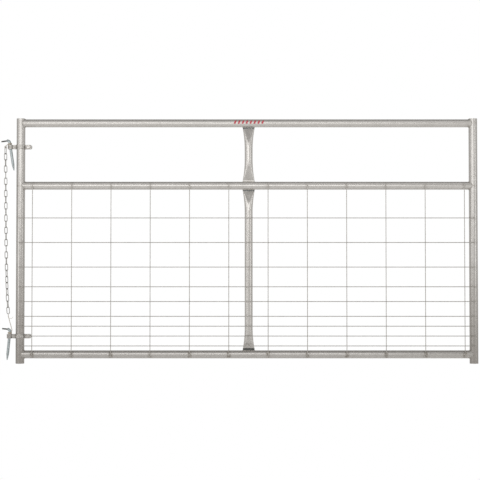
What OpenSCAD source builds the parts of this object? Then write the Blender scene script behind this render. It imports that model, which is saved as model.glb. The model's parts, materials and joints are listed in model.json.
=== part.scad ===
// Wire-filled tube gate, eight feet by fifty inches, with two clamp-on hinge collars,
// a screw hook hanging in each hinge eye and a length of chain tied from hook to hook.
// Millimetres, Z up. X runs from the hinge side to the latch side, and -Y is the front.
// The origin is the middle of the lower hinge eye's bore.

/* [Frame] */
// Distance between the two post axes
post_spacing = 2350; // [1500:10:3200]
// Length of each post
post_length = 1270; // [1200:5:1600]
// Outer diameter of the posts
post_od = 44.45; // [38:0.05:60.3]
// Outer diameter of the rails and the brace
rail_od = 41.3; // [32:0.1:42.4]
// Wall of every tube
tube_wall = 1.65; // [1.2:0.05:3]
// Height of the bottom rail's axis over the post feet
bottom_rail_z = 47; // [30:1:60]
// Height of the middle rail's axis over the post feet
middle_rail_z = 921; // [880:1:1000]
// Distance of the top rail's axis below the post tops
top_rail_drop = 24; // [22:1:50]
// Distance of the brace's axis from the hinge post's axis
brace_x = 1184; // [700:1:1800]

/* [Brace] */
// Thickness over the pressed ends of the brace tubes
pressed_thickness = 7; // [4:0.5:12]
// Length of each end that is pressed fully flat
pressed_land = 8; // [4:1:20]
// Length over which the pressed end opens out to the round tube
pressed_run = 108; // [60:1:150]

/* [Wire mesh] */
// Diameter of the mesh wires
wire_d = 3.76; // [2.5:0.01:5]
// Spacing of the upright stay wires
stay_pitch = 203.2; // [150:0.1:300]
// Distance of the first stay wire from the hinge post's axis
first_stay_x = 65; // [62:1:100]
// Height of the lowest line wire over the bottom rail's axis
first_line_rise = 45; // [30:1:60]
// Unit of the line wire spacing, one inch
inch = 25.4; // [20:0.1:27]
// Depth to which crossing wires are welded into each other
cross_weld = 0.9; // [0.3:0.1:1.2]
// Depth to which the stays are welded into the rails
rail_weld = 0.3; // [0.1:0.1:0.6]

/* [Hinge collars] */
// Height of the lower hinge over the post feet
lower_hinge_z = 141; // [120:1:200]
// Height of the upper hinge over the post feet
upper_hinge_z = 1122; // [1000:1:1180]
// Thickness of the collar strap
strap_thickness = 4; // [3:0.5:6]
// Height of the collar strap
strap_height = 22; // [18:1:28]
// Play of the hook's bar in the bore of the hinge eye
eye_play = 5.05; // [4.4:0.05:8]
// Distance of the hinge eye's axis from the post's axis
eye_offset = 54.6; // [52:0.1:70]
// Reach of the clamp ears from the post's axis
ear_reach = 57; // [54:1:62]
// Gap between the two clamp ears
ear_gap = 10; // [6:1:14]
// Diameter of the clamp bolt
bolt_d = 9.5; // [8:0.1:10]

/* [Screw hooks] */
// Diameter of the hook's round bar
hook_d = 14; // [11:0.1:14.5]
// Length of the hook below the middle of the eye
hook_drop = 124; // [90:1:150]
// Height of the arm's axis over the middle of the eye
arm_rise = 35; // [34:0.5:50]
// Reach of the arm's tip from the hook's axis
arm_reach = 42; // [36:1:50]
// Diameter of the threaded arm
arm_d = 8; // [7:0.1:11]
// Lean of the upper hook, with its arm towards the chain
upper_lean = -8.9; // [-9:0.1:0]
// Lean of the lower hook
lower_lean = 5.5; // [0:0.1:8]

/* [Chain] */
// Diameter of the chain wire
chain_wire_d = 3.8; // [3:0.1:4.2]
// Distance of the chain's top from the hinge eye's axis
chain_aside = 25.3; // [24:0.1:30]
// Drop of the chain's top below the middle of the upper eye
chain_drop = 4.6; // [0:0.1:20]
// Distance from one link to the next
chain_pitch = 31.9; // [28:0.1:34]
// Overall width of a link
link_width = 17; // [16:0.1:20]
// Lean of the top link from plumb
top_lean = 0.55; // [0:0.05:1]
// Lean of the bottom link from plumb
bottom_lean = 3.85; // [1:0.05:5]
// Diameter of the tie cord
tie_d = 3.2; // [2:0.1:3.4]

/* [Hidden] */
// Chain: as many links as hang between the upper eye and the cord at the lower hook's arm
least_cord = 60;    // the least that the cord spans above the lower hook's arm
link_count = floor((upper_hinge_z - chain_drop - lower_hinge_z - arm_rise - least_cord) / chain_pitch);
links = [for (n = [1:link_count]) str("chain_link_", n < 10 ? "0" : "", n)];
$fn = 48;

// Clearances
moving_gap = 0.3;   // between pieces that move on each other
wrap_gap = 0.05;    // between the collar and the post it clamps
hole_gap = 0.4;     // between a bolt and its hole in the ears
thread_gap = 0.02;  // between a bolt and its nut or washer
neck_slit = 0.4;    // between the two straps of a collar's neck
wire_gap = 1;       // between a collar and the line wires above and below it
ear_clear = 2;      // between a collar's ears and the line wire that stops short of them
open_end_gap = 1.2; // between the last link and the knot ring under it
through = 1;        // how far a cut runs past the face it opens

// Heights and radii that follow from the sizes above
top_rail_z = post_length - top_rail_drop;
post_r = post_od / 2;
rail_r = rail_od / 2;
wire_r = wire_d / 2;
hook_r = hook_d / 2;
link_r = chain_wire_d / 2;
tie_r = tie_d / 2;
eye_bore = hook_d + eye_play;
eye_r = eye_bore / 2 + strap_thickness;
hinge_heights = [lower_hinge_z, upper_hinge_z];

// Wire mesh: inches from each line wire to the next, from the bottom up
line_steps = [2, 2, 2, 3, 3, 4, 5, 5];
stay_count = floor((post_spacing - first_stay_x - post_r) / stay_pitch) + 1;
stay_y = -(rail_r + wire_r - rail_weld);
line_y = stay_y - wire_d + cross_weld;
stay_tail = 6;      // how far a stay runs past the axis of each rail it is welded to
line_tail = 5;      // how far a line wire runs past a post's axis
line_stand = abs(line_y) - wire_r;

// Where a line wire ends, from a post's axis towards the middle of the gate: it runs past the
// front of the post, or stops at the side of a post that is too stout to pass
line_end = line_stand >= post_r ? -line_tail : sqrt(post_r * post_r - line_stand * line_stand);

// Clamp bolt: heights of head, washer and nut, and the thread that shows past the nut
head_height = 6.2;
head_across = 14.3;
washer_thickness = 2;
washer_d = 22;
nut_height = 8.2;
bolt_tail = 4;
ear_corner = 8;
ear_face = ear_gap / 2 + strap_thickness;
ear_bolt_x = (post_r + strap_thickness + ear_reach) / 2;

// Screw hooks
bend_r = 12;
point_length = 34;
point_r = 2;

// Brace: sides of the pressed tube
brace_sides = 36;

// Chain: half the distance between the two end bars of a link, centre to centre
half_link = (chain_pitch + chain_wire_d + moving_gap) / 2;
bend_link_r = (link_width - chain_wire_d) / 2;
chain_top = [-eye_offset - chain_aside, 0, upper_hinge_z - chain_drop];
head_twist = 45;    // twist of the top link, gone after a few links
head_links = 5;
foot_twist = 90;    // twist that the last links gather
foot_links = 11;

// Cord ties: rings, knots, the turns round a hook's neck and the loose tail
tie_ring_r = 5;
knot_ring_r = 4;
knot_proud = 0.5;   // how much stouter a knot is than the cord
knot_r = tie_r + knot_proud;
wrap_turns = 3;
wrap_r = hook_r + moving_gap + tie_r;
wrap_start = strap_height / 2 + moving_gap + tie_r + wrap_r * sin(max(abs(upper_lean), abs(lower_lean)));
wrap_rise = 0.75 * tie_d;
tail_r = 0.8;
tail_bend_r = 12;
tail_turn = 165;

// Running total of the line wire spacing up to wire i
function line_total(i) = i == 0 ? 0 : line_total(i - 1) + line_steps[i - 1];

// Height of line wire i over the post feet
function line_z(i) = bottom_rail_z + first_line_rise + inch * line_total(i);

// A line wire that would meet a hinge collar starts past the collar's ears
function meets_collar(z) =
    min([for (h = hinge_heights) abs(z - h)]) < strap_height / 2 + wire_r + wire_gap;
function line_start(z) = meets_collar(z) ? ear_reach + ear_clear : line_end;

// Lean of link i from plumb: even at first and growing towards the bottom
function link_lean(i) = top_lean + (bottom_lean - top_lean) * pow(i / (link_count - 1), 4);

// Turn of link i about the chain: each a quarter turn on from the last, with some twist at each end
function link_turn(i) =
    90 * ((i + 1) % 2)
    + head_twist * max(0, 1 - i / head_links)
    + foot_twist * max(0, (i - link_count + 1 + foot_links) / foot_links);

// Unit vector down the length of link i
function link_down(i) = [sin(link_lean(i)), 0, -cos(link_lean(i))];

// The point that link i swings about: the middle of the bar that it hangs on
function link_pivot(i) = i == 0 ? chain_top : link_pivot(i - 1) + chain_pitch * link_down(i - 1);

// Everything is drawn from the hinge post's foot, and then set about the lower hinge eye
module from_eye() {
    translate([eye_offset, 0, -lower_hinge_z]) children();
}

// A round bar between two points
module rod(from, to, r) {
    run = to - from;
    reach = norm(run);
    translate(from)
        rotate([0, acos(run[2] / reach), atan2(run[1], run[0])])
            cylinder(h = reach, r = r);
}

module post(x) {
    color("silver") from_eye() translate([x, 0, 0]) difference() {
        cylinder(h = post_length, r = post_r);
        translate([0, 0, -through])
            cylinder(h = post_length + 2 * through, r = post_r - tube_wall);
    }
}

// A rail between the posts, its ends coped to fit round them
module rail(z) {
    color("silver") from_eye() difference() {
        rod([0, 0, z], [post_spacing, 0, z], rail_r);
        rod([-through, 0, z], [post_spacing + through, 0, z], rail_r - tube_wall);
        for (x = [0, post_spacing])
            translate([x, 0, z - rail_od]) cylinder(h = 2 * rail_od, r = post_r);
    }
}

// Thickness of the brace tube at a distance s from its nearer end
function brace_thickness(s) =
    let (u = min(1, max(0, (s - pressed_land) / pressed_run)))
    pressed_thickness + (rail_od - pressed_thickness) * (1 - pow(1 - u, 2));

// Outline of the tube's wall at radius r where the tube is pressed to a thickness t.
// The wall keeps its length, so the flat between the two round edges is pi * (r - t / 2).
function brace_ring(r, t, z) = [
    for (k = [0:brace_sides - 1])
        let (half = brace_sides / 2)
        let (right = k < half)
        let (turn = -90 + 180 * (right ? k : k - half) / (half - 1) + (right ? 0 : 180))
        let (flat = PI * max(0, r - t / 2) / 2)
        [(right ? flat : -flat) + t / 2 * cos(turn), t / 2 * sin(turn), z]
];

// A tube of radius r through rings at the heights in list z, closed at both ends
module brace_skin(r, inset, heights, low, high) {
    sides = brace_sides;
    rings = len(heights);
    points = [
        for (z = heights)
            let (s = min(z - low, high - z))
            each brace_ring(r, brace_thickness(max(0, s)) - 2 * inset, z)
    ];
    sides_of = [
        for (i = [0:rings - 2], k = [0:sides - 1])
            let (a = i * sides + k, b = i * sides + (k + 1) % sides)
            each [[a, a + sides, b + sides], [a, b + sides, b]]
    ];
    bottom = [[for (k = [0:sides - 1]) k]];
    top = [[for (k = [sides - 1:-1:0]) (rings - 1) * sides + k]];
    polyhedron(points, concat(sides_of, bottom, top));
}

// An upright brace tube between two rails, with both ends pressed flat
module brace(low_rail_z, high_rail_z) {
    low = low_rail_z + rail_r;
    high = high_rail_z - rail_r;
    steps = 8;
    spread = pressed_land + pressed_run;
    rise = [for (i = [0:steps]) pressed_land + pressed_run * i / steps];
    heights = concat([low], [for (s = rise) low + s], [for (i = [steps:-1:0]) high - rise[i]], [high]);
    cut = concat([low - through], [for (s = rise) low + s], [for (i = [steps:-1:0]) high - rise[i]],
        [high + through]);
    color("silver") from_eye() translate([brace_x, 0, 0]) difference() {
        brace_skin(rail_r, 0, heights, low, high);
        brace_skin(rail_r - tube_wall, tube_wall, cut, low, high);
    }
}

module mesh_stays() {
    color("lightgray") from_eye()
        for (i = [0:stay_count - 1])
            translate([first_stay_x + i * stay_pitch, stay_y, bottom_rail_z - stay_tail])
                cylinder(h = middle_rail_z - bottom_rail_z + 2 * stay_tail, r = wire_r);
}

module mesh_line_wires() {
    color("lightgray") from_eye()
        for (i = [0:len(line_steps)])
            rod(
                [line_start(line_z(i)), line_y, line_z(i)],
                [post_spacing - line_end, line_y, line_z(i)],
                wire_r
            );
}

// A strap bent round a small eye and the post, ending in two ears
module hinge_collar(z) {
    clamp_r = post_r + wrap_gap;
    color("gray") from_eye() translate([0, 0, z]) difference() {
        intersection() {
            translate([0, 0, -strap_height / 2]) linear_extrude(strap_height) difference() {
                union() {
                    circle(r = clamp_r + strap_thickness);
                    translate([-eye_offset, 0]) circle(r = eye_r);
                    translate([-eye_offset, -strap_thickness]) square([eye_offset, 2 * strap_thickness]);
                    translate([0, -ear_face]) square([ear_reach, 2 * ear_face]);
                }
                circle(r = clamp_r);
                translate([-eye_offset, 0]) circle(d = eye_bore);
                translate([-eye_offset, -neck_slit / 2]) square([eye_offset, neck_slit]);
                translate([0, -ear_gap / 2]) square([ear_reach + through, ear_gap]);
            }
            // rounds the corners of the ears, seen from the front
            rotate([90, 0, 0]) linear_extrude(3 * post_od, center = true) union() {
                translate([-eye_offset - eye_r, -strap_height / 2])
                    square([eye_offset + eye_r + ear_reach - ear_corner, strap_height]);
                translate([0, -strap_height / 2 + ear_corner])
                    square([ear_reach, strap_height - 2 * ear_corner]);
                for (side = [-1, 1])
                    translate([ear_reach - ear_corner, side * (strap_height / 2 - ear_corner)])
                        circle(r = ear_corner);
            }
        }
        rod([ear_bolt_x, -post_od, 0], [ear_bolt_x, post_od, 0], bolt_d / 2 + hole_gap);
    }
}

// Places a clamp bolt's pieces in both collars, looking along the bolt from its head
module at_bolts() {
    color("dimgray") from_eye()
        for (z = hinge_heights) translate([ear_bolt_x, 0, z]) rotate([-90, 0, 0]) children();
}

module clamp_bolts() {
    at_bolts() union() {
        translate([0, 0, -ear_face - head_height])
            cylinder(h = head_height, d = head_across / cos(30), $fn = 6);
        translate([0, 0, -ear_face - head_height / 2])
            cylinder(
                h = head_height / 2 + 2 * ear_face + washer_thickness + nut_height + bolt_tail,
                d = bolt_d
            );
    }
}

module clamp_washers() {
    at_bolts() translate([0, 0, ear_face]) difference() {
        cylinder(h = washer_thickness, d = washer_d);
        translate([0, 0, -through]) cylinder(h = washer_thickness + 2 * through, d = bolt_d + 2 * thread_gap);
    }
}

module clamp_nuts() {
    at_bolts() translate([0, 0, ear_face + washer_thickness]) difference() {
        cylinder(h = nut_height, d = head_across / cos(30), $fn = 6);
        translate([0, 0, -through]) cylinder(h = nut_height + 2 * through, d = bolt_d + 2 * thread_gap);
    }
}

// Sets its children about a hook's own axis, with the middle of the eye at the origin
module at_hook(z, lean) {
    from_eye() translate([-eye_offset, 0, z]) rotate([0, lean, 0]) children();
}

// A round bar with a long point below, bent square at the top into a threaded arm
module screw_hook(z, lean) {
    straight_top = arm_rise - bend_r;
    color("lightsteelblue") at_hook(z, lean) union() {
        translate([0, 0, -hook_drop]) cylinder(h = point_length, r1 = point_r, r2 = hook_r);
        translate([0, 0, point_length - hook_drop])
            cylinder(h = hook_drop - point_length + straight_top, r = hook_r);
        translate([-bend_r, 0, straight_top]) rotate([90, 0, 0]) rotate_extrude(angle = 90)
            translate([bend_r, 0]) circle(r = hook_r);
        rod([-bend_r, 0, arm_rise], [-arm_reach, 0, arm_rise], arm_d / 2);
    }
}

// A chain link hanging from a pivot: two half rings joined by two straight bars
module chain_link(i) {
    straight = half_link - bend_link_r;
    color("gainsboro") from_eye()
        translate(link_pivot(i) + (chain_pitch - half_link) * link_down(i))
            rotate([0, -link_lean(i), 0]) rotate([90, 0, link_turn(i)]) union() {
                for (side = [0, 1]) mirror([0, side, 0]) translate([0, straight, 0])
                    rotate_extrude(angle = 180) translate([bend_link_r, 0]) circle(r = link_r);
                for (side = [-1, 1])
                    rod([side * bend_link_r, -straight, 0], [side * bend_link_r, straight, 0], link_r);
            }
}

// Turns of cord round the neck of a hook, just above its eye
module neck_wrap() {
    rotate_extrude() union()
        for (turn = [0:wrap_turns - 1])
            translate([wrap_r, wrap_start + turn * wrap_rise]) circle(r = tie_r);
}

// Point beside a hook: out from its axis, towards +X in the hook's own frame, and up from the eye
function beside_hook(z, lean, out, up) =
    [-eye_offset + out * cos(lean) + up * sin(lean), 0, z + up * cos(lean) - out * sin(lean)];

// A cord ring that stands upright, turned about Z, with the point at the foot of its bar
module cord_ring(foot, r, turn) {
    translate(foot + [0, 0, r]) rotate([90, 0, turn]) rotate_extrude() translate([r, 0]) circle(r = tie_r);
}

// The top link hangs in this ring, which is tied to the neck of the upper hook
module upper_chain_tie() {
    crown = chain_top + [0, 0, 2 * tie_ring_r];
    start = beside_hook(upper_hinge_z, upper_lean, -wrap_r, wrap_start + 1.5 * wrap_rise);
    color("ivory") union() {
        at_hook(upper_hinge_z, upper_lean) neck_wrap();
        from_eye() rod(start, crown, tie_r);
        from_eye() translate(crown) sphere(r = knot_r);
        from_eye() cord_ring(chain_top, tie_ring_r, link_turn(0) + 90);
    }
}

// The cord from the neck of the lower hook ends in a knot ring just under the last link
module lower_chain_tie() {
    last_bar = link_pivot(link_count);
    top = last_bar - [0, 0, link_r + open_end_gap + tie_r];
    foot = top - [0, 0, 2 * knot_ring_r];
    start = beside_hook(lower_hinge_z, lower_lean, wrap_r, wrap_start + wrap_rise / 2);
    bend = beside_hook(lower_hinge_z, lower_lean, wrap_r + moving_gap, arm_rise);
    color("ivory") union() {
        at_hook(lower_hinge_z, lower_lean) neck_wrap();
        from_eye() rod(start, bend, tie_r);
        for (knot = [bend, foot]) from_eye() translate(knot) sphere(r = knot_r);
        from_eye() rod(bend, foot, tie_r);
        from_eye() cord_ring(foot, knot_ring_r, link_turn(link_count));
        from_eye() translate(foot + [tail_bend_r, 0, 0]) rotate([90, 0, 0]) rotate([0, 0, 180])
            rotate_extrude(angle = tail_turn) translate([tail_bend_r, 0]) circle(r = tail_r);
    }
}

post(0);  // hinge_post
post(post_spacing);  // latch_post
rail(top_rail_z);  // top_rail
rail(middle_rail_z);  // middle_rail
rail(bottom_rail_z);  // bottom_rail
brace(middle_rail_z, top_rail_z);  // upper_brace
brace(bottom_rail_z, middle_rail_z);  // lower_brace
mesh_stays();
mesh_line_wires();
hinge_collar(upper_hinge_z);  // upper_hinge_collar
hinge_collar(lower_hinge_z);  // lower_hinge_collar
clamp_bolts();
clamp_washers();
clamp_nuts();
screw_hook(upper_hinge_z, upper_lean);  // upper_screw_hook
screw_hook(lower_hinge_z, lower_lean);  // lower_screw_hook
upper_chain_tie();
lower_chain_tie();
for (i = [0:link_count - 1]) chain_link(i);
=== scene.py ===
import json
import math

import bmesh
import bpy
import numpy as np
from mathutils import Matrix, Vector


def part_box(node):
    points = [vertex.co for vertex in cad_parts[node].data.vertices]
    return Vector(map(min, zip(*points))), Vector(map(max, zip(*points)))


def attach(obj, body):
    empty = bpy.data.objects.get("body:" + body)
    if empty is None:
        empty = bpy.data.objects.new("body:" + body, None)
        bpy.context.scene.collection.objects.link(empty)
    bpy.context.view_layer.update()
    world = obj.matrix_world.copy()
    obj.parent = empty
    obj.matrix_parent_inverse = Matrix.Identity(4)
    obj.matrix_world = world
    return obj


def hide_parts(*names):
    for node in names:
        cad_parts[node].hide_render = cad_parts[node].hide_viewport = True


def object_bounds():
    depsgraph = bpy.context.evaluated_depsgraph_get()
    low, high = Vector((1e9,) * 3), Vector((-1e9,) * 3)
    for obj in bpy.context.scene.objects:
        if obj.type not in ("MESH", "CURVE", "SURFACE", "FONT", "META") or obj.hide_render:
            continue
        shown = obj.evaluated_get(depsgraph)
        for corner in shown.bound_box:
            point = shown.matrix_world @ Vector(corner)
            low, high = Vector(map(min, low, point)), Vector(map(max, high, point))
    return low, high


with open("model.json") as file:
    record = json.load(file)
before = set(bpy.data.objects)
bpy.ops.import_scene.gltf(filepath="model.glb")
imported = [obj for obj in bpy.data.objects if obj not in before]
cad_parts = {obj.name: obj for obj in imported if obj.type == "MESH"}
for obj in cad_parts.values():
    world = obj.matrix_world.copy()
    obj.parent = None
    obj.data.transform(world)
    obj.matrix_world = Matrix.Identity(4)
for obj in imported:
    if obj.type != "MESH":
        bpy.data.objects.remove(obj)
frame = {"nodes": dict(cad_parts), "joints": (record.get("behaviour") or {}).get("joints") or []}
cadBox = [[float(value) for value in corner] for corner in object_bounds()]
print("frame loaded")


# where the tubes and wires run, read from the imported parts

def tubeOf(node, along):
    # the middle of a straight tube across its length, and its radius, from its box
    low, high = (np.array(corner, dtype=float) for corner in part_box(node))
    middle = (low + high) / 2
    across = [k for k in range(3) if k != along]
    radius = float(max(high[k] - low[k] for k in across)) / 2
    return middle, radius, low, high


hingePost, postR, postLow, postHigh = tubeOf("hinge_post", 2)
latchPost = tubeOf("latch_post", 2)[0]
postXs = [float(hingePost[0]), float(latchPost[0])]
railHeights = [float(tubeOf(name, 0)[0][2]) for name in ("bottom_rail", "middle_rail", "top_rail")]
railR = tubeOf("top_rail", 0)[1]
braceX = float(tubeOf("lower_brace", 2)[0][0])

meshWires = {
    "radius": 0.00188,
    "stayCount": 12,
    "inches": [2, 2, 2, 3, 3, 4, 5, 5],   # from each line wire to the next, going up
    "inch": 0.0254,
}
wireR = meshWires["radius"]
stayLow, stayHigh = (np.array(corner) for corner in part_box("mesh_stays"))
stayXs = np.linspace(stayLow[0] + wireR, stayHigh[0] - wireR, meshWires["stayCount"])
stayPitch = float(stayXs[1] - stayXs[0])
lineLow = np.array(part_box("mesh_line_wires")[0])
lineSteps = np.concatenate([[0], np.cumsum(meshWires["inches"])]) * meshWires["inch"]
lineZs = lineLow[2] + wireR + lineSteps
print("frame measured")


# mesh making

def meshFrom(name, points, body, closedAlong=False, sharp=False):
    # points is a grid, rings by sides by xyz: every ring is closed, and so is the run of
    # rings where closedAlong is set. Otherwise each end is closed with a flat cap.
    rings, sides = points.shape[:2]
    ringIndex = np.arange(rings if closedAlong else rings - 1)[:, None]
    sideIndex = np.arange(sides)[None, :]
    nextSide = (sideIndex + 1) % sides
    nextRing = (ringIndex + 1) % rings
    a = ringIndex * sides + sideIndex
    b = ringIndex * sides + nextSide
    c = nextRing * sides + nextSide
    d = nextRing * sides + sideIndex
    faces = np.stack([a, b, c, d], axis=-1).reshape(-1, 4).tolist()
    if not closedAlong:
        faces.append(list(range(sides - 1, -1, -1)))
        faces.append(list(range((rings - 1) * sides, rings * sides)))
    return finishMesh(name, points.reshape(-1, 3), faces, body, sharp)


def finishMesh(name, vertices, faces, body, sharp=False):
    mesh = bpy.data.meshes.new(name)
    mesh.from_pydata(vertices.tolist(), [], faces)
    mesh.update()
    piece = bpy.data.objects.new(name, mesh)
    bpy.context.scene.collection.objects.link(piece)
    turnOutwards(mesh)
    mesh.shade_smooth()
    if sharp:
        mesh.set_sharp_from_angle(angle=math.radians(35))
    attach(piece, body)
    return piece


def turnOutwards(mesh):
    # a closed shell whose signed volume is negative has its faces the wrong way round
    mesh.calc_loop_triangles()
    count = len(mesh.loop_triangles)
    corners = np.empty(count * 3, dtype=np.int32)
    mesh.loop_triangles.foreach_get("vertices", corners)
    places = np.empty(len(mesh.vertices) * 3)
    mesh.vertices.foreach_get("co", places)
    first, second, third = places.reshape(-1, 3)[corners.reshape(-1, 3)].transpose(1, 0, 2)
    volume = np.einsum("ij,ij->i", first, np.cross(second, third)).sum()
    if volume < 0:
        mesh.flip_normals()


def unit(vectors):
    return vectors / np.linalg.norm(vectors, axis=-1, keepdims=True)


def sweep(path, radius, reference, sides, closed=False):
    # a round section carried along a path. The section's first axis is the reference
    # crossed with the path's direction, and radius may vary by ring and by side.
    ahead = np.roll(path, -1, axis=0) - np.roll(path, 1, axis=0)
    if not closed:
        ahead[0] = path[1] - path[0]
        ahead[-1] = path[-1] - path[-2]
    forward = unit(ahead)
    first = unit(np.cross(np.broadcast_to(reference, forward.shape), forward))[:, None]
    second = np.cross(forward, first[:, 0])[:, None]
    turn = np.linspace(0, 2 * np.pi, sides, endpoint=False)[None, :, None]
    reach = np.broadcast_to(np.asarray(radius, dtype=float), (len(path), sides))[..., None]
    return path[:, None, :] + reach * (first * np.cos(turn) + second * np.sin(turn))


def joinGrids(name, grids, body):
    # many closed grids of the same shape as one piece: grids is count by rings by sides by
    # xyz, and the first and last ring of each one are points, so no cap is needed
    count, rings, sides = grids.shape[:3]
    start = (np.arange(count) * rings * sides)[:, None, None]
    ring = np.arange(rings - 1)[None, :, None] * sides
    side = np.arange(sides)[None, None, :]
    following = (side + 1) % sides
    here = start + ring
    quads = np.stack([here + side, here + following,
                      here + sides + following, here + sides + side], axis=-1)
    faces = quads.reshape(-1, 4).tolist()
    piece = finishMesh(name, grids.reshape(-1, 3), faces, body)
    mergePoints(piece)
    return piece


def mergePoints(piece):
    shape = bmesh.new()
    shape.from_mesh(piece.data)
    bmesh.ops.remove_doubles(shape, verts=shape.verts, dist=1e-7)
    bmesh.ops.dissolve_degenerate(shape, edges=shape.edges, dist=1e-7)
    shape.to_mesh(piece.data)
    shape.free()


# shader nodes

def setSocket(tree, socket, value):
    # a socket takes another node's output, a colour without its alpha, or a plain value
    if hasattr(value, "is_output"):
        tree.links.new(value, socket)
    elif socket.type == "RGBA" and len(value) == 3:
        socket.default_value = (*value, 1.0)
    else:
        socket.default_value = value


def nodeIn(tree, kind, options=None, **inputs):
    made = tree.nodes.new("ShaderNode" + kind)
    for key, value in (options or {}).items():
        setattr(made, key, value)
    for key, value in inputs.items():
        setSocket(tree, made.inputs[key], value)
    return made


def maths(tree, operation, *values):
    made = nodeIn(tree, "Math", {"operation": operation})
    for socket, value in zip(made.inputs, values):
        setSocket(tree, socket, value)
    return made.outputs[0]


def times(tree, first, second):
    return maths(tree, "MULTIPLY", first, second)


def timesPlus(tree, first, second, third):
    return maths(tree, "MULTIPLY_ADD", first, second, third)


def mixColours(tree, amount, first, second):
    made = nodeIn(tree, "Mix", {"data_type": "RGBA"})
    for index, value in ((0, amount), (6, first), (7, second)):
        setSocket(tree, made.inputs[index], value)
    return made.outputs[2]


def mixShaders(tree, amount, first, second):
    made = nodeIn(tree, "MixShader")
    for socket, value in zip(made.inputs, (amount, first, second)):
        setSocket(tree, socket, value)
    return made.outputs[0]


def ramp(tree, value, low, high, toLow=0.0, toHigh=1.0):
    made = nodeIn(tree, "MapRange", {"clamp": True})
    for socket, number in zip(made.inputs, (value, low, high, toLow, toHigh)):
        setSocket(tree, socket, number)
    return made.outputs[0]


def objectCoords(tree):
    return nodeIn(tree, "TexCoord").outputs["Object"]


def stretchedCoords(tree, scale):
    return nodeIn(tree, "Mapping", Vector=objectCoords(tree), Scale=scale).outputs[0]


def noise(tree, coords, scale, detail, roughness=0.5):
    made = nodeIn(tree, "TexNoise", Vector=coords, Scale=scale, Detail=detail,
                  Roughness=roughness)
    return made.outputs[0]


def bumpOn(tree, shader, height, strength, distance):
    bump = nodeIn(tree, "Bump", Strength=strength, Distance=distance, Height=height)
    tree.links.new(bump.outputs[0], shader.inputs["Normal"])


def newMaterial(name):
    material = bpy.data.materials.new(name)
    material.use_nodes = True
    return material, material.node_tree, material.node_tree.nodes["Principled BSDF"]


def nearPlaces(tree, coordinate, places, reach):
    # 1 at any of the places along a coordinate, falling to 0 at reach from it
    total = None
    for place in places:
        distance = maths(tree, "ABSOLUTE", maths(tree, "SUBTRACT", coordinate, float(place)))
        near = ramp(tree, distance, 0.0, reach, 1.0, 0.0)
        total = near if total is None else maths(tree, "MAXIMUM", total, near)
    return total


# galvanised tube

tubeFinish = {
    "light": (0.76, 0.74, 0.715),
    "dark": (0.62, 0.6, 0.575),
    "metallic": 0.92,
    "roughness": (0.2, 0.32),
    "spangle": 0.009,                # size of a zinc crystal
    "streak": 0.014,                 # width of a drawn streak
    "streakPull": 1.6,               # and its scale along the tube
    "blotchScale": 9.0,
    "grainScale": 420.0,
    "streakShare": 0.6,              # how much each one mottles the tube
    "crystalShare": 0.22,
    "blotchShare": 0.45,
    "bump": 0.025,
    "bumpDepth": 0.0004,
    "burnAndShadow": (0.3, 0.27, 0.23),      # zinc burnt off beside a weld, and painted shadow under the wires and stays
    "burnAndShadowShare": 0.8,
    "burntRoughness": 0.55,
    "burnAndShadowScale": 55.0,              # of the patches that break it up
    # painted shade on the creased flats of the pressed ends, and how much of it
    "pressed": (0.42, 0.415, 0.39),
    "flatShadeShare": 0.22,
    "jointShadowColour": (0.07, 0.075, 0.075),   # painted shadow right in the corner of a joint
    "jointShadowShare": 0.93,
    "jointShadowReach": 0.0095,
    "jointShadowWander": 0.012,
    "jointShadowScale": 210.0,
    "jointShadowRise": 0.004,               # of the line at the foot of the lower brace
    # painted shade towards the foot of the posts: its colour, and the heights where it is full and
    # where it is gone
    "soil": (0.4, 0.375, 0.35),
    "footShadeHeights": (-0.1, 0.42),
    "stayMark": (0.002, 0.015),      # half the width of a burnt mark, full and faded out
    "stayMarkDepths": (-0.019, -0.008),
    "stayMarkScale": 130.0,
}


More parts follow.
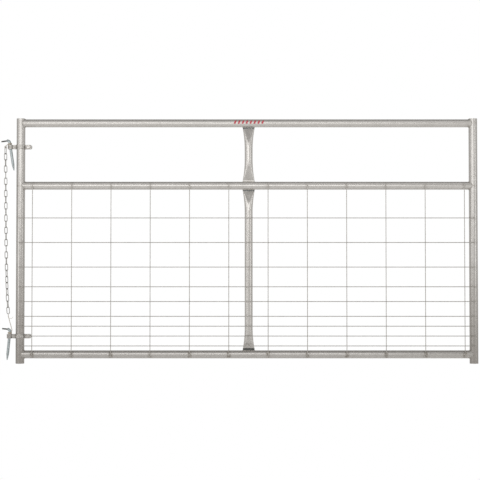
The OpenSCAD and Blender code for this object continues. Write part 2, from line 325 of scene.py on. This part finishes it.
def galvanisedTube(name, along, joints, reach=0.03, jointMarkShare=0.45, jointShadowPlaces=(), stays=0.0,
                   pressed=False, paintedLightLevel=1.0, shadedFoot=False):
    # Hot-dip zinc: crystals, drawn streaks along the tube and blotches of tone. Darker patches
    # within reach of the joints are burnt zinc with painted shadow, and painted shadow lies as a
    # ragged dark line at each of the given places in the corners of joints.
    # A light level below 1 paints the tube in shade and one above 1 paints light on it, and the
    # foot option paints shade that darkens the tube towards the ground.
    finish = tubeFinish
    material, tree, shader = newMaterial(name)
    coords = objectCoords(tree)
    position = nodeIn(tree, "SeparateXYZ", Vector=coords).outputs
    streakScale = [1 / finish["streak"]] * 3
    streakScale[along] = finish["streakPull"]
    streaks = noise(tree, stretchedCoords(tree, streakScale), 1.0, 4.0)
    spangle = nodeIn(tree, "TexVoronoi", Vector=coords, Scale=1 / finish["spangle"])
    crystal = nodeIn(tree, "SeparateColor", Color=spangle.outputs["Color"]).outputs[0]
    blotches = noise(tree, coords, finish["blotchScale"], 5.0, 0.6)
    mottle = timesPlus(tree, streaks, finish["streakShare"],
                       times(tree, crystal, finish["crystalShare"]))
    mottle = timesPlus(tree, blotches, finish["blotchShare"],
                       maths(tree, "SUBTRACT", mottle, 0.13))
    # the zinc's colours scaled by the painted light level
    darkZinc, lightZinc = ([part * paintedLightLevel for part in finish[key]] for key in ("dark", "light"))
    colour = mixColours(tree, ramp(tree, mottle, 0.25, 0.8), darkZinc, lightZinc)
    # painted shade darkening the tube towards the ground, broken up by the blotches
    if shadedFoot:
        low = ramp(tree, position[2], *finish["footShadeHeights"], 1.0, 0.0)
        footShadePatches = ramp(tree, blotches, 0.3, 0.7, 0.75, 1.0)
        colour = mixColours(tree, times(tree, low, footShadePatches), colour, finish["soil"])
    # burnt zinc near the joints; at the posts' wire heights this is also painted shadow under the
    # wires
    nearJoints = nearPlaces(tree, position[along], joints, reach)
    patchy = ramp(tree, noise(tree, coords, finish["burnAndShadowScale"], 4.0), 0.42, 0.66)
    burnAndShadow = times(tree, maths(tree, "POWER", nearJoints, 1.6), times(tree, patchy, jointMarkShare))
    # burnt zinc and painted shadow at the stays, strongest on the bottom rail
    if stays > 0:
        burnAndShadow = maths(tree, "MAXIMUM", burnAndShadow, stayBurnAndShadow(tree, coords, position, stays))
    if pressed:
        # painted shade on the creased flat of a pressed end, darker than the round flanks beside it
        flat = nodeIn(tree, "Attribute", {"attribute_name": "flatShadeMask"}).outputs["Fac"]
        flatShade = times(tree, flat, finish["flatShadeShare"])
        colour = mixColours(tree, flatShade, colour, finish["pressed"])
    colour = mixColours(tree, times(tree, burnAndShadow, finish["burnAndShadowShare"]), colour, finish["burnAndShadow"])
    # painted shadow: a ragged dark line in the gap where a brace end meets its rail
    if jointShadowPlaces:
        wander = maths(tree, "SUBTRACT", noise(tree, coords, finish["jointShadowScale"], 3.0), 0.5)
        height = timesPlus(tree, wander, finish["jointShadowWander"], position[along])
        jointShadow = ramp(tree, nearPlaces(tree, height, jointShadowPlaces, finish["jointShadowReach"]), 0.0, 0.3)
        colour = mixColours(tree, times(tree, jointShadow, finish["jointShadowShare"]), colour, finish["jointShadowColour"])
    tree.links.new(colour, shader.inputs["Base Color"])
    dullness = timesPlus(tree, crystal, 0.15, times(tree, streaks, 0.85))
    rough = ramp(tree, dullness, 0.1, 0.8, *finish["roughness"])
    rough = maths(tree, "MAXIMUM", rough, times(tree, burnAndShadow, finish["burntRoughness"]))
    tree.links.new(rough, shader.inputs["Roughness"])
    grain = noise(tree, coords, finish["grainScale"], 2.0)
    height = timesPlus(tree, grain, 0.05, streaks)
    bumpOn(tree, shader, height, finish["bump"], finish["bumpDepth"])
    shader.inputs["Metallic"].default_value = finish["metallic"]
    return material


def stayBurnAndShadow(tree, coords, position, share):
    # a ragged mark on the front of the rail at every stay wire, burnt zinc with painted shadow of
    # the stay: how far a point is from the nearest stay is the fraction of a pitch that it lies
    # past one
    steps = maths(tree, "DIVIDE", maths(tree, "SUBTRACT", position[0], float(stayXs[0])), stayPitch)
    fraction = maths(tree, "FRACT", maths(tree, "ADD", steps, 0.5))
    off = maths(tree, "ABSOLUTE", maths(tree, "SUBTRACT", fraction, 0.5))
    mark = ramp(tree, times(tree, off, stayPitch), *tubeFinish["stayMark"], 1.0, 0.0)
    front = ramp(tree, position[1], *tubeFinish["stayMarkDepths"], 1.0, 0.0)
    ragged = ramp(tree, noise(tree, coords, tubeFinish["stayMarkScale"], 3.0), 0.35, 0.6)
    mark = times(tree, times(tree, mark, front), times(tree, ragged, share))
    return maths(tree, "MINIMUM", times(tree, mark, 1.6), 1.0)


# wire, welds, chain and fittings

metalFinish = {
    "galvanisedWire": {
        "light": (0.62, 0.6, 0.57), "dark": (0.45, 0.43, 0.4), "roughness": (0.28, 0.5),
        "blotch": 0.012,
    },
    "weldMetal": {
        "light": (0.74, 0.72, 0.69), "dark": (0.42, 0.4, 0.37), "roughness": (0.3, 0.5),
        "blotch": 0.006,
    },
    # painted shade of the thread grooves: the threaded arm is coloured near black
    "shadedThreadArm": {
        "light": (0.22, 0.22, 0.21), "dark": (0.12, 0.12, 0.115), "roughness": (0.35, 0.55),
        "blotch": 0.006,
    },
    "platedChain": {
        "light": (0.56, 0.545, 0.52), "dark": (0.32, 0.31, 0.295), "roughness": (0.2, 0.36),
        "blotch": 0.005,
    },
    "collarStrap": {
        "light": (0.46, 0.44, 0.415), "dark": (0.26, 0.245, 0.23), "roughness": (0.3, 0.48),
        "blotch": 0.007, "worn": (0.66, 0.64, 0.61),
    },
    "platedBolt": {
        "light": (0.6, 0.58, 0.55), "dark": (0.4, 0.38, 0.36), "roughness": (0.24, 0.4),
        "blotch": 0.007, "worn": (0.8, 0.78, 0.75),
    },
    "bluedHook": {
        "light": (0.6, 0.655, 0.665), "dark": (0.4, 0.45, 0.465), "roughness": (0.3, 0.48),
        "blotch": 0.007, "worn": (0.76, 0.8, 0.8),
    },
}
metalGrain = {
    "size": 0.0016,
    "depth": 0.0002,
    "strength": 0.5,
    "metallic": 0.92,
    "wornEdges": (0.52, 0.6),             # pointiness, where wear begins and is full
    "scratchScale": (60.0, 60.0, 420.0),
}


def plainMetal(name):
    # Zinc or steel with blotches of tone and sheen, and a fine grain. One that has a worn
    # colour shows it along its edges, broken up by scratches.
    finish = metalFinish[name]
    material, tree, shader = newMaterial(name)
    coords = objectCoords(tree)
    blotches = noise(tree, coords, 1 / finish["blotch"], 6.0, 0.62)
    grain = noise(tree, coords, 1 / metalGrain["size"], 3.0)
    colour = mixColours(tree, ramp(tree, blotches, 0.34, 0.64), finish["dark"], finish["light"])
    if "worn" in finish:
        pointiness = nodeIn(tree, "NewGeometry").outputs["Pointiness"]
        edges = ramp(tree, pointiness, *metalGrain["wornEdges"])
        scratches = noise(tree, stretchedCoords(tree, metalGrain["scratchScale"]), 1.0, 4.0)
        wear = times(tree, edges, ramp(tree, scratches, 0.4, 0.6))
        colour = mixColours(tree, wear, colour, finish["worn"])
    tree.links.new(colour, shader.inputs["Base Color"])
    dullness = timesPlus(tree, grain, 0.5, times(tree, blotches, 0.5))
    rough = ramp(tree, dullness, 0.3, 0.7, *finish["roughness"])
    tree.links.new(rough, shader.inputs["Roughness"])
    bumpOn(tree, shader, grain, metalGrain["strength"], metalGrain["depth"])
    shader.inputs["Metallic"].default_value = metalGrain["metallic"]
    return material


# cord and label film

cordFinish = {
    "soiled": (0.52, 0.46, 0.37),
    "clean": (0.72, 0.65, 0.55),
    # painted shade in the grooves between the strands, and how much of it
    "grooveShade": (0.44, 0.37, 0.28),
    "grooveShadeShare": 0.35,
    "strandScale": 260.0,
    "strandTurn": (0.5, 0.6, 0.3),
    "strandBump": 0.6,
    "strandDepth": 0.0004,
    "soilScale": 120.0,
    "roughness": 0.52,
    "sheen": 0.15,
}


def nylonCord(name):
    # twisted nylon: slanted strands from bands on the turned coordinates, with painted shade in the
    # grooves between them
    finish = cordFinish
    material, tree, shader = newMaterial(name)
    coords = objectCoords(tree)
    turned = nodeIn(tree, "Mapping", Vector=coords, Rotation=finish["strandTurn"]).outputs[0]
    strands = nodeIn(tree, "TexWave", Vector=turned, Scale=finish["strandScale"],
                     Distortion=0.6, Detail=1.0).outputs[0]
    soil = ramp(tree, noise(tree, coords, finish["soilScale"], 4.0), 0.35, 0.7)
    colour = mixColours(tree, soil, finish["soiled"], finish["clean"])
    # painted shade in the grooves between the strands
    grooveShade = ramp(tree, strands, 0.0, 0.5, finish["grooveShadeShare"], 0.0)
    colour = mixColours(tree, grooveShade, colour, finish["grooveShade"])
    tree.links.new(colour, shader.inputs["Base Color"])
    bumpOn(tree, shader, strands, finish["strandBump"], finish["strandDepth"])
    shader.inputs["Roughness"].default_value = finish["roughness"]
    shader.inputs["Sheen Weight"].default_value = finish["sheen"]
    return material


labelFinish = {
    "faded": (0.64, 0.055, 0.085),
    "bright": (0.74, 0.12, 0.15),
    "fadeScale": 160.0,
    "roughness": (0.3, 0.45),
}


def labelFilm(name):
    # red vinyl, a little faded and scuffed
    material, tree, shader = newMaterial(name)
    fade = noise(tree, objectCoords(tree), labelFinish["fadeScale"], 5.0)
    shade = ramp(tree, fade, 0.4, 0.7)
    colour = mixColours(tree, shade, labelFinish["faded"], labelFinish["bright"])
    tree.links.new(colour, shader.inputs["Base Color"])
    rough = ramp(tree, fade, 0.3, 0.7, *labelFinish["roughness"])
    tree.links.new(rough, shader.inputs["Roughness"])
    return material


# which piece wears which finish

railEnds = [postXs[0] + postR, postXs[1] - postR]
# painted light and shade by tube: the top and middle rails painted lighter, the bottom rail and the
# posts painted in shade
topRailMaterial = galvanisedTube("galvanisedTopRail", 0, railEnds, paintedLightLevel=1.1)
middleRailMaterial = galvanisedTube("galvanisedMiddleRail", 0, railEnds, stays=0.3, paintedLightLevel=1.1)
bottomRailMaterial = galvanisedTube("galvanisedBottomRail", 0, railEnds, stays=1.0, paintedLightLevel=0.92)
# the posts' marks at the wire heights are burnt zinc with painted shadow under the wires
postMaterial = galvanisedTube(
    "galvanisedPost", 2, [*railHeights, *lineZs],
    reach=0.014, jointMarkShare=0.6, paintedLightLevel=0.88, shadedFoot=True,
)
braceEnds = [
    railHeights[0] + railR, railHeights[1] - railR,
    railHeights[1] + railR, railHeights[2] - railR,
]
# painted shadow lines lie in the gaps at three of the brace ends
braceMaterial = galvanisedTube(
    "galvanisedBrace", 2, braceEnds, jointMarkShare=0.7,
    jointShadowPlaces=[braceEnds[0] + tubeFinish["jointShadowRise"], braceEnds[1], braceEnds[3]], pressed=True,
)
metals = {name: plainMetal(name) for name in metalFinish}
cordMaterial = nylonCord("nylonCord")
labelMaterial = labelFilm("redVinyl")


def dress(objects, *materials):
    for piece in objects:
        piece.data.materials.clear()
        for material in materials:
            piece.data.materials.append(material)


nodes = frame["nodes"]
chainLinks = [name for name in nodes if name.startswith("chain_link_")]
wardrobe = [
    (("hinge_post", "latch_post"), postMaterial),
    (("top_rail",), topRailMaterial),
    (("middle_rail",), middleRailMaterial),
    (("bottom_rail",), bottomRailMaterial),
    (("mesh_stays", "mesh_line_wires"), metals["galvanisedWire"]),
    (("upper_hinge_collar", "lower_hinge_collar"), metals["collarStrap"]),
    (("clamp_bolts", "clamp_washers", "clamp_nuts"), metals["platedBolt"]),
    (("upper_chain_tie", "lower_chain_tie"), cordMaterial),
    (chainLinks, metals["platedChain"]),
]
for names, material in wardrobe:
    dress([nodes[name] for name in names], material)
print("materials made")


# brace tubes with pressed ends

pressedBrace = {
    "wall": 0.00165,
    "thickness": 0.007,
    "land": 0.008,        # pressed fully flat
    "run": 0.108,         # opens out to the round tube
    "rings": 60,
    "crowding": 1.4,      # rings stand closer together towards the end
    "sides": 96,
    "crease": 0.0017,     # how far the flat is pressed in between its two edges
    "creaseRun": 0.66,    # share of the run that the creased flat takes up
    "creaseWidth": 0.012, # a flat narrower than this is creased less
    "flatShadeFade": 0.35,
}


def makeBrace(node):
    # The wall keeps its length as the tube is pressed: at a thickness t the flat between the
    # two round edges is pi (r - t / 2) long. The thickness eases from flat to round by
    # 1 - (1 - u)^2 along the run. The grid goes up the outside and down the inside.
    size = pressedBrace
    low, high = (np.array(corner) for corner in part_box(node))
    bottom, top = float(low[2]), float(high[2])
    fine = np.linspace(0, 1, size["rings"]) ** size["crowding"] * (size["land"] + size["run"])
    heights = np.concatenate([bottom + fine, [(bottom + top) / 2], (top - fine)[::-1]])
    fromEnd = np.minimum(heights - bottom, top - heights)
    u = np.clip((fromEnd - size["land"]) / size["run"], 0, 1)
    thickness = size["thickness"] + (2 * railR - size["thickness"]) * (1 - (1 - u) ** 2)
    half = size["sides"] // 2
    turn = np.linspace(-np.pi / 2, np.pi / 2, half // 2)
    flatSteps = np.linspace(1, -1, half - half // 2 + 2)[1:-1]

    def section(inset):
        flat = np.pi * np.maximum(0, railR - thickness / 2) / 2
        depth = (thickness / 2 - inset)[:, None]
        pressed = size["crease"] * np.sin(np.pi * np.minimum(1, u / size["creaseRun"]))
        pressed = (pressed * np.clip(flat / size["creaseWidth"], 0, 1))[:, None]
        edgeX = flat[:, None] + depth * np.cos(turn)
        right = np.stack([edgeX, depth * np.sin(turn)], -1)
        hollow = depth - pressed * (1 - flatSteps ** 2)
        front = np.stack([flat[:, None] * flatSteps, hollow], -1)
        ring = np.concatenate([right, front, -right, -front], axis=1)
        z = np.broadcast_to(heights[:, None, None], (*ring.shape[:2], 1))
        return np.concatenate([ring, z], axis=-1)

    outside = section(0.0)
    inside = section(size["wall"])[::-1]
    points = np.concatenate([outside, inside], axis=0)
    points[..., 0] += braceX
    piece = meshFrom(node + "_tube", points, "gate_frame",
                     closedAlong=True, sharp=True)
    markFlat(piece, u, len(flatSteps), half // 2)
    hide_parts(node)
    dress([piece], braceMaterial)


def markFlat(piece, u, flatCount, turnCount):
    # the mask of the painted shade: 1 on the creased flats and 0 on the round flanks, fading along
    # the run as 1 - u / creaseRun
    along = np.clip(1 - u / pressedBrace["creaseRun"], 0, 1) ** pressedBrace["flatShadeFade"]
    ring = np.concatenate([np.zeros(turnCount), np.ones(flatCount)] * 2)
    wall = along[:, None] * ring[None, :]
    values = np.concatenate([wall, np.zeros_like(wall)]).astype(np.float32).ravel()
    mark = piece.data.attributes.new("flatShadeMask", "FLOAT", "POINT")
    mark.data.foreach_set("value", values)


makeBrace("lower_brace")
makeBrace("upper_brace")
print("brace tubes pressed")


# weld beads

weldBead = {
    "saddleRadius": 0.0017,
    "braceRadius": 0.0015,
    "ripple": 0.13,        # share of the radius
    "rippleLength": 0.0031,
    "slowWander": 0.12,    # three waves round the joint
    "quickWander": 0.08,   # and seven
    "sides": 10,
    "saddleSteps": 420,
    "edgeSteps": 26,
    "flatSteps": 90,
    "offRail": 0.0005,     # the bead's middle off the rail's skin
    "offPost": 0.0004,
    "offEdge": 0.0004,
    "offEnd": 0.0006,
}
rng = np.random.default_rng(7)


def rippled(path, radius):
    # a weld's radius, which rises and falls once a puddle and wanders slowly round the joint
    bead = weldBead
    steps = np.linalg.norm(np.roll(path, -1, axis=0) - path, axis=1)
    run = np.cumsum(steps)
    puddles = np.round(run[-1] / bead["rippleLength"])
    phase = 2 * np.pi * run / run[-1]
    wander = bead["slowWander"] * np.sin(3 * phase + rng.uniform(0, 6))
    wander = wander + bead["quickWander"] * np.sin(7 * phase + rng.uniform(0, 6))
    size = radius * (1 + bead["ripple"] * np.sin(puddles * phase) + wander)
    return np.repeat(size[:, None], bead["sides"], axis=1)


def layBead(name, path, radius, reference):
    points = sweep(path, rippled(path, radius), np.array(reference), weldBead["sides"],
                   closed=True)
    piece = meshFrom(name, points, "gate_frame", closedAlong=True)
    dress([piece], metals["weldMetal"])


def saddleBead(name, postX, side, height):
    # round the rail where it meets the post: y = a cos f, z = a sin f, x = sqrt(R^2 - y^2)
    f = np.linspace(0, 2 * np.pi, weldBead["saddleSteps"], endpoint=False)
    out = railR + weldBead["offRail"]
    y = out * np.cos(f)
    reach = (postR + weldBead["offPost"]) ** 2 - np.minimum(np.abs(y), railR) ** 2
    path = np.stack([postX + side * np.sqrt(reach), y, height + out * np.sin(f)], axis=-1)
    layBead(name, path, weldBead["saddleRadius"], [1.0, 0, 0])


def braceBead(name, height, side):
    # round the pressed end of a brace: out along the flat, round the edge and back
    t = pressedBrace["thickness"]
    flat = np.pi * (railR - t / 2) / 2
    edge = t / 2 + weldBead["offEdge"]
    turn = np.linspace(-np.pi / 2, np.pi / 2, weldBead["edgeSteps"])
    steps = np.linspace(-1, 1, weldBead["flatSteps"])[1:-1] * flat
    right = np.stack([flat + edge * np.cos(turn), edge * np.sin(turn)], -1)
    back = np.stack([-steps, np.full_like(steps, edge)], -1)
    outline = np.concatenate([right, back, -right, -back])
    drop = railR - np.sqrt(railR ** 2 - outline[:, 1] ** 2)
    z = height + side * (railR - drop + weldBead["offEnd"])
    path = np.concatenate([outline + [braceX, 0], z[:, None]], axis=1)
    layBead(name, path, weldBead["braceRadius"], [0, 0, 1.0])


for level, height in zip(("bottom", "middle", "top"), railHeights):
    saddleBead(level + "_rail_weld_hinge_side", postXs[0], 1, height)
    saddleBead(level + "_rail_weld_latch_side", postXs[1], -1, height)
braceBead("lower_brace_foot_weld", railHeights[0], 1)
braceBead("lower_brace_head_weld", railHeights[1], -1)
braceBead("upper_brace_foot_weld", railHeights[1], 1)
braceBead("upper_brace_head_weld", railHeights[2], -1)
print("weld beads laid")


# spot welds where the mesh meets the frame

spotWeld = {
    "rings": 9,
    "sides": 14,
    "onPost": (0.0036, 0.0022, 0.0031),    # half sizes
    "onBrace": (0.0034, 0.0028, 0.003),
    "onRail": (0.003, 0.0016, 0.0038),
    "postProud": 0.0007,
    "braceProud": 0.0013,
    "smallest": 0.85,
    "largest": 1.12,
    "twoLump": 0.13,                       # share of the radius
    "threeLump": 0.1,
    "collarReach": 0.016,                  # the lower collar is in the way of a wire this near
}


def spotWelds(name, centres, halfSizes):
    # flattened balls with a lump or two: radius 1 + a sin(2f + p) sin(h) + b sin(3f + q) sin(2h)
    h = np.linspace(0, np.pi, spotWeld["rings"])[:, None]
    f = np.linspace(0, 2 * np.pi, spotWeld["sides"], endpoint=False)
    upward = np.broadcast_to(np.cos(h), (len(h), len(f)))
    ball = np.stack([np.sin(h) * np.cos(f), np.sin(h) * np.sin(f), upward], axis=-1)
    count = len(centres)
    phase = rng.uniform(0, 2 * np.pi, (count, 2, 1, 1))
    lumps = 1 + spotWeld["twoLump"] * np.sin(2 * f + phase[:, 0]) * np.sin(h)
    lumps = lumps + spotWeld["threeLump"] * np.sin(3 * f + phase[:, 1]) * np.sin(2 * h)
    scale = rng.uniform(spotWeld["smallest"], spotWeld["largest"], (count, 1, 1, 1))
    size = np.asarray(halfSizes) * scale
    points = np.asarray(centres)[:, None, None, :] + ball[None] * lumps[..., None] * size
    piece = joinGrids(name, points, "gate_frame")
    dress([piece], metals["weldMetal"])


postCentres = [
    (x, -postR - spotWeld["postProud"], z) for x in postXs for z in lineZs
    if not (x == postXs[0] and abs(z) < spotWeld["collarReach"])
]
braceCentres = [(braceX, -railR - spotWeld["braceProud"], z) for z in lineZs]
railCentres = [(x, -railR, z) for x in stayXs for z in railHeights[:2]]
spotWelds("line_wire_post_welds", postCentres, spotWeld["onPost"])
spotWelds("line_wire_brace_welds", braceCentres, spotWeld["onBrace"])
spotWelds("stay_rail_welds", railCentres, spotWeld["onRail"])
print("spot welds set")


# screw hooks

screwHook = {
    "radius": 0.007,
    "drop": 0.124,
    "point": 0.034,
    "pointRadius": 0.0018,
    "bluntness": 0.0015,      # the length over which the very tip rounds off
    "armRise": 0.035,
    "armReach": 0.042,
    "bend": 0.012,
    "neck": 0.002,            # the bar steps down to the arm over this length
    "armRadius": 0.004,
    "threadPitch": 0.0021,
    "threadDepth": 0.0008,
    "armChamfer": 0.0012,
    "sides": 40,
    "tipLength": 0.002,
    "tipGap": 0.0005,
    "pointGap": 0.003,
    "tipRings": 8,
    "pointRings": 24,
    "shankRings": 40,
    "bendRings": 34,
    "armRings": 150,
}


def hookPath(size):
    # how far the bar's middle stands aside and up, from the tip: straight up the shank, a
    # quarter turn of the bend, then square out along the arm
    straightTop = size["armRise"] - size["bend"]
    shankTop = size["drop"] + straightTop
    rise = np.concatenate([
        np.linspace(0, size["tipLength"], size["tipRings"]),
        np.linspace(size["tipLength"] + size["tipGap"], size["point"], size["pointRings"]),
        np.linspace(size["point"] + size["pointGap"], shankTop, size["shankRings"])[:-1],
    ])
    angle = np.linspace(0, np.pi / 2, size["bendRings"])
    armRun = np.linspace(0, size["armReach"] - size["bend"], size["armRings"])[1:]
    upward = np.concatenate([
        rise - size["drop"],
        straightTop + size["bend"] * np.sin(angle),
        np.full_like(armRun, size["armRise"]),
    ])
    outward = np.concatenate([
        np.zeros_like(rise),
        size["bend"] * (1 - np.cos(angle)),
        size["bend"] + armRun,
    ])
    return rise, armRun, outward[:, None], upward[:, None]


def hookRadius(size, rise, armRun):
    # The point tapers as (s / length)^0.8. The arm's radius falls by the thread's depth once
    # a turn: depth * ((1 + cos(2 pi s / pitch - side angle)) / 2)^1.5.
    taper = np.clip(rise / size["point"], 0, 1) ** 0.8
    barRadius = size["pointRadius"] + (size["radius"] - size["pointRadius"]) * taper
    blunt = np.sqrt(np.clip(rise / size["bluntness"], 0.02, 1))
    bar = np.repeat((barRadius * blunt)[:, None], size["sides"], axis=1)
    bend = np.full((size["bendRings"], size["sides"]), size["radius"])
    side = np.linspace(0, 2 * np.pi, size["sides"], endpoint=False)
    run = armRun[:, None]
    wave = 0.5 + 0.5 * np.cos(2 * np.pi * run / size["threadPitch"] - side)
    crest = size["armRadius"] - size["threadDepth"] * wave ** 1.5
    neck = np.clip(1 - run / size["neck"], 0, 1)
    chamfer = np.sqrt(np.clip((armRun[-1] - run) / size["armChamfer"], 0.15, 1))
    arm = (crest * (1 - neck) + size["radius"] * neck) * chamfer
    return np.concatenate([bar, bend, arm])


def makeHook(node, joint):
    # a bar along the joint's own axis, bent square at the top
    size = screwHook
    eye = np.array(joint["pos_m"])
    up = unit(np.array(joint["axis"]))
    left = unit(np.cross(up, [0.0, 1.0, 0.0]))        # towards the arm
    rise, armRun, outward, upward = hookPath(size)
    path = eye + outward * left + upward * up
    radius = hookRadius(size, rise, armRun)
    points = sweep(path, radius, np.array([0, 1.0, 0]), size["sides"])
    piece = meshFrom(node + "_bar", points, joint["child"])
    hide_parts(node)
    # the arm wears the painted shade of its thread grooves
    dress([piece], metals["bluedHook"], metals["shadedThreadArm"])
    firstArmRing = len(rise) + size["bendRings"]
    faceRing = np.arange(len(piece.data.polygons)) // size["sides"]
    choice = (np.minimum(faceRing, len(path) - 1) >= firstArmRing).astype(np.int32)
    choice[-2] = 0                                    # the cap at the point
    piece.data.polygons.foreach_set("material_index", choice)


joints = {joint["name"]: joint for joint in frame["joints"]}
makeHook("upper_screw_hook", joints["upper_hook_swivel"])
makeHook("lower_screw_hook", joints["lower_hook_swivel"])
print("screw hooks bent and threaded")


# label on the top rail: plain slanted bars, no lettering

railLabel = {
    "aside": 0.0015,       # from the brace's middle
    "length": 0.152,
    "bars": 8,
    "barWidth": 0.0095,
    "slant": 0.006,
    "highAngle": 36.0,
    "lowAngle": -12.0,
    "angleSteps": 16,
    "underside": 0.00003,  # the film's two faces, off the rail
    "film": 0.00012,
}


def makeLabel():
    # each bar is a thin sheet wrapped on the rail, from one angle round the tube to another
    size = railLabel
    middle = braceX + size["aside"]
    angles = np.radians(np.linspace(size["lowAngle"], size["highAngle"], size["angleSteps"]))
    halfLength = size["length"] / 2
    lefts = middle + np.linspace(-halfLength, halfLength - size["barWidth"], size["bars"])
    share = np.linspace(-0.5, 0.5, len(angles))
    under, over = railR + size["underside"], railR + size["film"]
    for index, left in enumerate(lefts):
        start = left + size["slant"] * share
        end = start + size["barWidth"]
        rows = [
            np.stack([x, -r * np.cos(angles), railHeights[2] + r * np.sin(angles)], axis=-1)
            for r, x in ((under, start), (under, end), (over, end), (over, start))
        ]
        piece = meshFrom("rail_label_bar_%d" % (index + 1), np.stack(rows, axis=1),
                         "gate_frame", sharp=True)
        dress([piece], labelMaterial)


makeLabel()
print("label laid")


# floor, backdrop, lights and camera

studio = {
    "floorSize": 30.0,
    "floorDrop": 0.0005,   # under the feet
    "floorTone": 0.6,
    "floorRoughness": 0.9,
    "floorGlow": 0.34,
    "roomLight": 0.6,      # what the metal mirrors, level with it
    "overhead": 0.26,      # and straight above it
    "headings": (0.25, 0.9),   # how steeply up the one ends and the other is reached
    "roomTint": (1.0, 0.985, 0.96),
    "backdrop": 1.0,       # what shows behind the gate
}


def makeFloor():
    half = studio["floorSize"] / 2
    middle = (cadBox[0][0] + cadBox[1][0]) / 2
    height = cadBox[0][2] - studio["floorDrop"]
    corners = [(middle - half, -half, height), (middle + half, -half, height),
               (middle + half, half, height), (middle - half, half, height)]
    mesh = bpy.data.meshes.new("studio_floor")
    mesh.from_pydata(corners, [], [(0, 1, 2, 3)])
    floor = bpy.data.objects.new("studio_floor", mesh)
    bpy.context.scene.collection.objects.link(floor)
    # the floor shows white, and the metal mirrors a duller one
    material, tree, shader = newMaterial("paleFloor")
    shader.inputs["Base Color"].default_value = (*[studio["floorTone"]] * 3, 1)
    shader.inputs["Roughness"].default_value = studio["floorRoughness"]
    shader.inputs["Emission Color"].default_value = (*studio["roomTint"], 1)
    shader.inputs["Emission Strength"].default_value = studio["floorGlow"]
    seen = nodeIn(tree, "LightPath").outputs["Is Camera Ray"]
    white = nodeIn(tree, "Emission", Strength=studio["backdrop"])
    mixed = mixShaders(tree, seen, shader.outputs[0], white.outputs[0])
    tree.links.new(mixed, tree.nodes["Material Output"].inputs["Surface"])
    mesh.materials.append(material)


def makeWorld():
    # the backdrop shows white, while the metal is lit and mirrored by a duller room
    world = bpy.data.worlds.new("studio")
    world.use_nodes = True
    bpy.context.scene.world = world
    tree = world.node_tree
    tree.nodes.clear()
    seen = nodeIn(tree, "LightPath").outputs["Is Camera Ray"]
    around = nodeIn(tree, "TexCoord").outputs["Generated"]
    heading = nodeIn(tree, "SeparateXYZ", Vector=around).outputs[2]
    level = ramp(tree, heading, *studio["headings"], studio["roomLight"], studio["overhead"])
    room = nodeIn(tree, "Background", Color=studio["roomTint"], Strength=level)
    white = nodeIn(tree, "Background", Color=(1, 1, 1), Strength=studio["backdrop"])
    mixed = mixShaders(tree, seen, room.outputs[0], white.outputs[0])
    nodeIn(tree, "OutputWorld", Surface=mixed)


# places and aims are from the middle of the gate, in metres, and power is in watts
softboxes = {
    "front_softbox": {"place": (-0.6, -4.2, 1.0), "width": 4.2, "height": 1.3, "power": 20},
    "left_softbox": {"place": (-3.4, -2.6, 0.4), "width": 1.3, "height": 2.4, "power": 10},
    "right_softbox": {"place": (3.6, -2.4, 0.4), "width": 0.9, "height": 2.4, "power": 8},
    "floor_light": {"place": (0, -1.6, 2.8), "aim": (0, -1.2, -1.0),
                    "width": 5.0, "height": 1.6, "power": 9},
}
gateMiddle = np.array([sum(postXs) / 2, 0, (postLow[2] + postHigh[2]) / 2])


def makeLight(name, settings):
    lamp = bpy.data.lights.new(name, "AREA")
    lamp.shape = "RECTANGLE"
    lamp.size = settings["width"]
    lamp.size_y = settings["height"]
    lamp.energy = settings["power"]
    holder = bpy.data.objects.new(name, lamp)
    bpy.context.scene.collection.objects.link(holder)
    place = np.array(settings["place"])
    aim = np.array(settings.get("aim", (0, 0, 0))) - place
    holder.location = gateMiddle + place
    yaw = math.atan2(aim[1], aim[0]) - math.pi / 2
    pitch = math.atan2(aim[2], math.hypot(aim[0], aim[1])) + math.pi / 2
    holder.rotation_euler = (pitch, 0, yaw)


view = {
    "distance": 6.0,
    "width": 2.4898,             # how much of the gate's plane the frame takes in
    "aside": -0.036,
    "above": 0.004,
    "tilt": math.radians(1.5),   # looks up a little, so that the foot of the gate is nearer
    "sensor": 36,
}


def makeCamera():
    lens = bpy.data.cameras.new("studio_camera")
    lens.sensor_width = view["sensor"]
    lens.lens = view["sensor"] * view["distance"] / view["width"]
    camera = bpy.data.objects.new("studio_camera", lens)
    bpy.context.scene.collection.objects.link(camera)
    drop = view["distance"] * math.tan(view["tilt"])
    camera.location = gateMiddle + [view["aside"], -view["distance"], view["above"] - drop]
    camera.rotation_euler = (math.pi / 2 + view["tilt"], 0, 0)
    bpy.context.scene.camera = camera


makeFloor()
makeWorld()
for name, settings in softboxes.items():
    makeLight(name, settings)
makeCamera()
bpy.context.scene.view_settings.view_transform = "Standard"
print("studio set")
